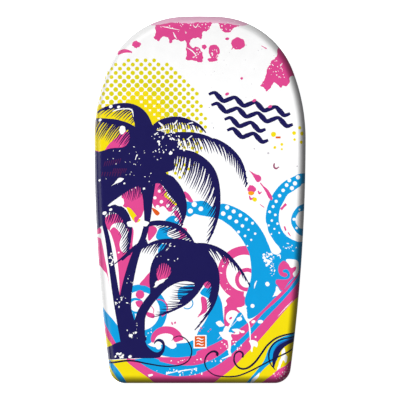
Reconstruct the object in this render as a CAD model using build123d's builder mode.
from build123d import *

import os
from math import cos, radians, sin, sqrt

# A child's bodyboard, 33 inches long: a bead-foam core in a soft deck wrap and a
# slick bottom sheet, sewn together all round with a piped seam low on the rail.
#
# Frame, in millimetres: +Y to the nose, +X to the rider's right, +Z up through the
# deck. The origin is on the surface that the board lies on, under the middle of its
# length and width.

# Plan outline: tangent arcs from the middle of the nose to the widest point, then one
# long arc back to a straight tail.
LENGTH = 840.0
NOSE_RADIUS = 1000.0
NOSE_TURN = 2.4
SHOULDER_RADIUS = 191.5
SHOULDER_TURN = 65.6
RAIL_RADIUS = 424.0
RAIL_TURN = 90.0 - NOSE_TURN - SHOULDER_TURN
TAIL_HALF_WIDTH = 203.5
TAIL_CORNER_RADIUS = 37.0

# Side profile: flat from the tail, then one arc that lifts the nose.
THICKNESS = 48.0
LIFT_START = 180.0
NOSE_LIFT = 18.0
LIFT_RUN = LENGTH / 2 - LIFT_START
LIFT_RADIUS = (LIFT_RUN**2 + NOSE_LIFT**2) / (2 * NOSE_LIFT)
LIFT_ARC_TURN = 12.0

# Rail section: a large round at the deck, a smaller one at the bottom.
DECK_EDGE_RADIUS = 20.0
BOTTOM_EDGE_RADIUS = 16.0

# Layers, from the outside in. Both stacks have the same thickness, so the core has one
# even gap all round.
FABRIC = 0.8
SLICK = 1.0
STACK = 3.0

# The seam runs round the bottom edge. Its tape has a flat flange, caught between the
# deck wrap and the bottom sheet, and a round bead that holds the piping cord.
SEAM_HEIGHT = 5.0
TAPE = 0.6
BEAD = 3.6
BEAD_CORD = BEAD - 2 * TAPE
BEAD_PROUD = 0.7
BEAD_ROUNDING = 0.46

# Two rows of stitches, one each side of the bead, given by their angle below the
# horizontal on the bottom edge's round.
THREAD_RADIUS = 0.3
STITCH_LENGTH = 7.0
STITCH_PITCH = 11.0
DECK_STITCH_ANGLE = 26.0
BOTTOM_STITCH_ANGLE = 60.0

# How far the tool solids reach past the board.
CLEAR = 60.0


def outline(inset):
    """The board's plan outline, moved inwards by inset."""
    with BuildSketch() as plan:
        with BuildLine():
            nose = JernArc((0, LENGTH / 2), (1, 0), NOSE_RADIUS, -NOSE_TURN)
            shoulder = JernArc(nose @ 1, nose % 1, SHOULDER_RADIUS, -SHOULDER_TURN)
            rail = JernArc(shoulder @ 1, shoulder % 1, RAIL_RADIUS, -RAIL_TURN)
            side = TangentArc(rail @ 1, (TAIL_HALF_WIDTH, -LENGTH / 2), tangent=rail % 1)
            Line(side @ 1, (0, -LENGTH / 2))
            mirror(about=Plane.YZ)
        make_face()
        tail_vertices = plan.vertices().group_by(Axis.Y)[0]
        corners = tail_vertices.filter_by(lambda v: abs(v.X) > TAIL_HALF_WIDTH / 2)
        fillet(corners, radius=TAIL_CORNER_RADIUS)
        if inset:
            offset(amount=-inset, mode=Mode.REPLACE)
    return plan.sketch


def side_profile(low, high):
    """The strip between two heights above the board's bottom curve, seen from +X."""
    start = -LENGTH / 2 - CLEAR
    with BuildSketch(Plane.YZ) as profile:
        with BuildLine():
            low_line = Line((start, low), (LIFT_START, low))
            low_arc = JernArc(low_line @ 1, (1, 0), LIFT_RADIUS - low, LIFT_ARC_TURN)
            high_line = Line((start, high), (LIFT_START, high))
            high_arc = JernArc(high_line @ 1, (1, 0), LIFT_RADIUS - high, LIFT_ARC_TURN)
            Line(low_line @ 0, high_line @ 0)
            Line(low_arc @ 1, high_arc @ 1)
        make_face()
    return profile.sketch


def curve_height(y, height):
    """Z at y of the curve that runs at an even height above the bottom curve."""
    run = max(0.0, y - LIFT_START)
    return LIFT_RADIUS - sqrt((LIFT_RADIUS - height) ** 2 - run**2)


def height_on_board(edge):
    """An edge's height above the bottom curve, at its middle."""
    middle = edge @ 0.5
    return middle.Z - curve_height(middle.Y, 0)


def on_rim(edge):
    """True for an edge that runs round the rim, not down its wall or across the board."""
    crosses = abs((edge @ 0.5).Y - LIFT_START) < 1 and abs((edge % 0.5).X) > 0.99
    return abs((edge % 0.5).Z) < 0.9 and not crosses


def strip(low, high, inset=-CLEAR):
    """The space between two heights above the bottom curve, within the inset outline."""
    with BuildPart() as space:
        extrude(outline(inset), amount=4 * THICKNESS, both=True)
        extrude(side_profile(low, high), amount=LENGTH, both=True, mode=Mode.INTERSECT)
    return space.part


def blank(inset):
    """The whole board, taken in by inset on every side, with both rail edges rounded."""
    with BuildPart() as board:
        add(strip(inset, THICKNESS - inset, inset))
        rim = board.edges().filter_by(on_rim)
        deck_edges = rim.filter_by(lambda e: height_on_board(e) > THICKNESS / 2)
        fillet(deck_edges, radius=DECK_EDGE_RADIUS - inset)
        rim = board.edges().filter_by(on_rim)
        bottom_edges = rim.filter_by(lambda e: height_on_board(e) < inset + 0.5)
        fillet(bottom_edges, radius=BOTTOM_EDGE_RADIUS - inset)
    return board.part


def rail_inset(height):
    """How far the bottom edge's round stands in from the widest outline at a height."""
    drop = BOTTOM_EDGE_RADIUS - height
    return BOTTOM_EDGE_RADIUS - sqrt(BOTTOM_EDGE_RADIUS**2 - drop**2)


def bead(width):
    """A closed ring of rounded square section, centred on the seam's bead."""
    half = width / 2
    middle_height = SEAM_HEIGHT - BEAD_PROUD
    middle_inset = rail_inset(SEAM_HEIGHT) - BEAD_PROUD
    with BuildPart() as ring:
        add(strip(middle_height - half, middle_height + half, middle_inset - half))
        inner = strip(-CLEAR, THICKNESS + CLEAR, middle_inset + half)
        add(inner, mode=Mode.SUBTRACT)
        fillet(ring.edges().filter_by(on_rim), radius=BEAD_ROUNDING * width)
    return ring.part


def stitch_places(angle):
    """One location per stitch: a row on the bottom edge's round, at an angle below it."""
    reach = BOTTOM_EDGE_RADIUS + THREAD_RADIUS
    out = reach * cos(radians(angle))
    down = reach * sin(radians(angle))
    path = outline(BOTTOM_EDGE_RADIUS - out).wire()
    count = round(path.length / STITCH_PITCH)
    places = []
    for i in range(count):
        at = path.position_at((i + 0.5) / count)
        along = path.tangent_at((i + 0.5) / count)
        if at.cross(along).Z < 0:
            along = -along
        outward = Vector(along.Y, -along.X)
        y = (at - outward * out).Y
        ahead = curve_height(y + 1, BOTTOM_EDGE_RADIUS)
        behind = curve_height(y - 1, BOTTOM_EDGE_RADIUS)
        direction = Vector(along.X, along.Y, along.Y * (ahead - behind) / 2).normalized()
        round_centre = Vector(at.X, at.Y, curve_height(y, BOTTOM_EDGE_RADIUS))
        origin = round_centre + direction.cross(outward) * down
        places.append(Plane(origin=origin, z_dir=direction).location)
    return places


def stitches(angle):
    """A row of separate straight stitches."""
    with BuildPart() as row:
        with Locations(*stitch_places(angle)):
            Cylinder(radius=THREAD_RADIUS, height=STITCH_LENGTH)
    return row.part


# Shared solids that cut the layers apart.
outside = blank(0)
core_space = blank(STACK)
bead_space = bead(BEAD)
above_seam = strip(SEAM_HEIGHT + TAPE / 2, THICKNESS + CLEAR)
below_seam = strip(-CLEAR, SEAM_HEIGHT - TAPE / 2)

os.makedirs("parts", exist_ok=True)

with BuildPart() as foam_core:
    add(core_space)
foam_core.part.label = "foam_core"
export_step(foam_core.part, "parts/foam_core.step")

# The printed cloth: over the deck and round the rail, down to the seam.
with BuildPart() as deck_cover:
    add(outside)
    add(blank(FABRIC), mode=Mode.SUBTRACT)
    add(above_seam, mode=Mode.INTERSECT)
    add(bead_space, mode=Mode.SUBTRACT)
deck_cover.part.label = "deck_cover"
export_step(deck_cover.part, "parts/deck_cover.step")

# The soft foam sheet that the cloth is stretched over.
with BuildPart() as deck_underlay:
    add(blank(FABRIC))
    add(core_space, mode=Mode.SUBTRACT)
    add(above_seam, mode=Mode.INTERSECT)
    add(bead_space, mode=Mode.SUBTRACT)
deck_underlay.part.label = "deck_underlay"
export_step(deck_underlay.part, "parts/deck_underlay.step")

# The hard plastic running surface, turned up to the seam.
with BuildPart() as bottom_slick:
    add(outside)
    add(blank(SLICK), mode=Mode.SUBTRACT)
    add(below_seam, mode=Mode.INTERSECT)
    add(bead_space, mode=Mode.SUBTRACT)
bottom_slick.part.label = "bottom_slick"
export_step(bottom_slick.part, "parts/bottom_slick.step")

# The tie sheet that bonds the slick to the core.
with BuildPart() as bottom_underlay:
    add(blank(SLICK))
    add(core_space, mode=Mode.SUBTRACT)
    add(below_seam, mode=Mode.INTERSECT)
    add(bead_space, mode=Mode.SUBTRACT)
bottom_underlay.part.label = "bottom_underlay"
export_step(bottom_underlay.part, "parts/bottom_underlay.step")

with BuildPart() as piping_cord:
    add(bead(BEAD_CORD))
piping_cord.part.label = "piping_cord"
export_step(piping_cord.part, "parts/piping_cord.step")

# The tape's flange fills the gap between the two wraps, and its bead covers the cord.
with BuildPart() as piping_tape:
    add(outside)
    add(core_space, mode=Mode.SUBTRACT)
    add(strip(SEAM_HEIGHT - TAPE / 2, SEAM_HEIGHT + TAPE / 2), mode=Mode.INTERSECT)
    add(bead_space)
    add(core_space, mode=Mode.SUBTRACT)
    add(bead(BEAD_CORD), mode=Mode.SUBTRACT)
piping_tape.part.label = "piping_tape"
export_step(piping_tape.part, "parts/piping_tape.step")

# The needle thread lies on the cloth above the bead.
with BuildPart() as needle_stitches:
    add(stitches(DECK_STITCH_ANGLE))
needle_stitches.part.label = "needle_stitches"
export_step(needle_stitches.part, "parts/needle_stitches.step")

# The bobbin thread lies on the slick below the bead.
with BuildPart() as bobbin_stitches:
    add(stitches(BOTTOM_STITCH_ANGLE))
bobbin_stitches.part.label = "bobbin_stitches"
export_step(bobbin_stitches.part, "parts/bobbin_stitches.step")
